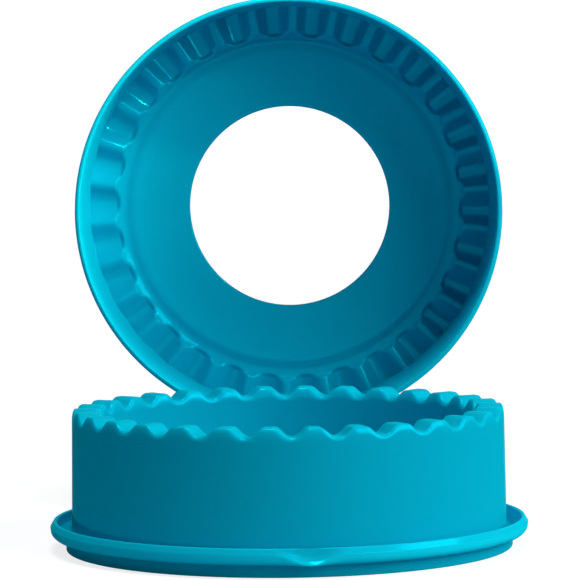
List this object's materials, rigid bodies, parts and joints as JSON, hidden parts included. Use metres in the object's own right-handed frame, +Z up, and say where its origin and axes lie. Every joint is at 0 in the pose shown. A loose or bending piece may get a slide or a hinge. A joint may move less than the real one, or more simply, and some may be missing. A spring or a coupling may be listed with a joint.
{
  "type": "sandwich cutter and sealer",
  "caption": "Round toothed sealing base in a shallow saucer, with a matching ring-shaped cutter press stood up behind it.",
  "frame": {"origin": "on the surface the base stands on, under the middle of the set's bounding box", "axes": "+Z up; -Y is the front, where the base stands; +Y is the back, where the press stands with its open side to the front"},
  "size_m": [0.0992, 0.1318, 0.1145],
  "materials": {
    "base_plastic": "glossy turquoise moulding",
    "press_plastic": "glossy turquoise moulding"
  },
  "bodies": {
    "base": {"sealing_base": "base_plastic"},
    "press": {"cutter_press": "press_plastic"}
  },
  "joints": [
    {"name": "press_turn", "type": "hinge", "parent": "base", "child": "press", "pos_m": [0, 0.04205, 0.00843], "axis": [1, 0, 0], "range_deg": [0, 90]}
  ]
}
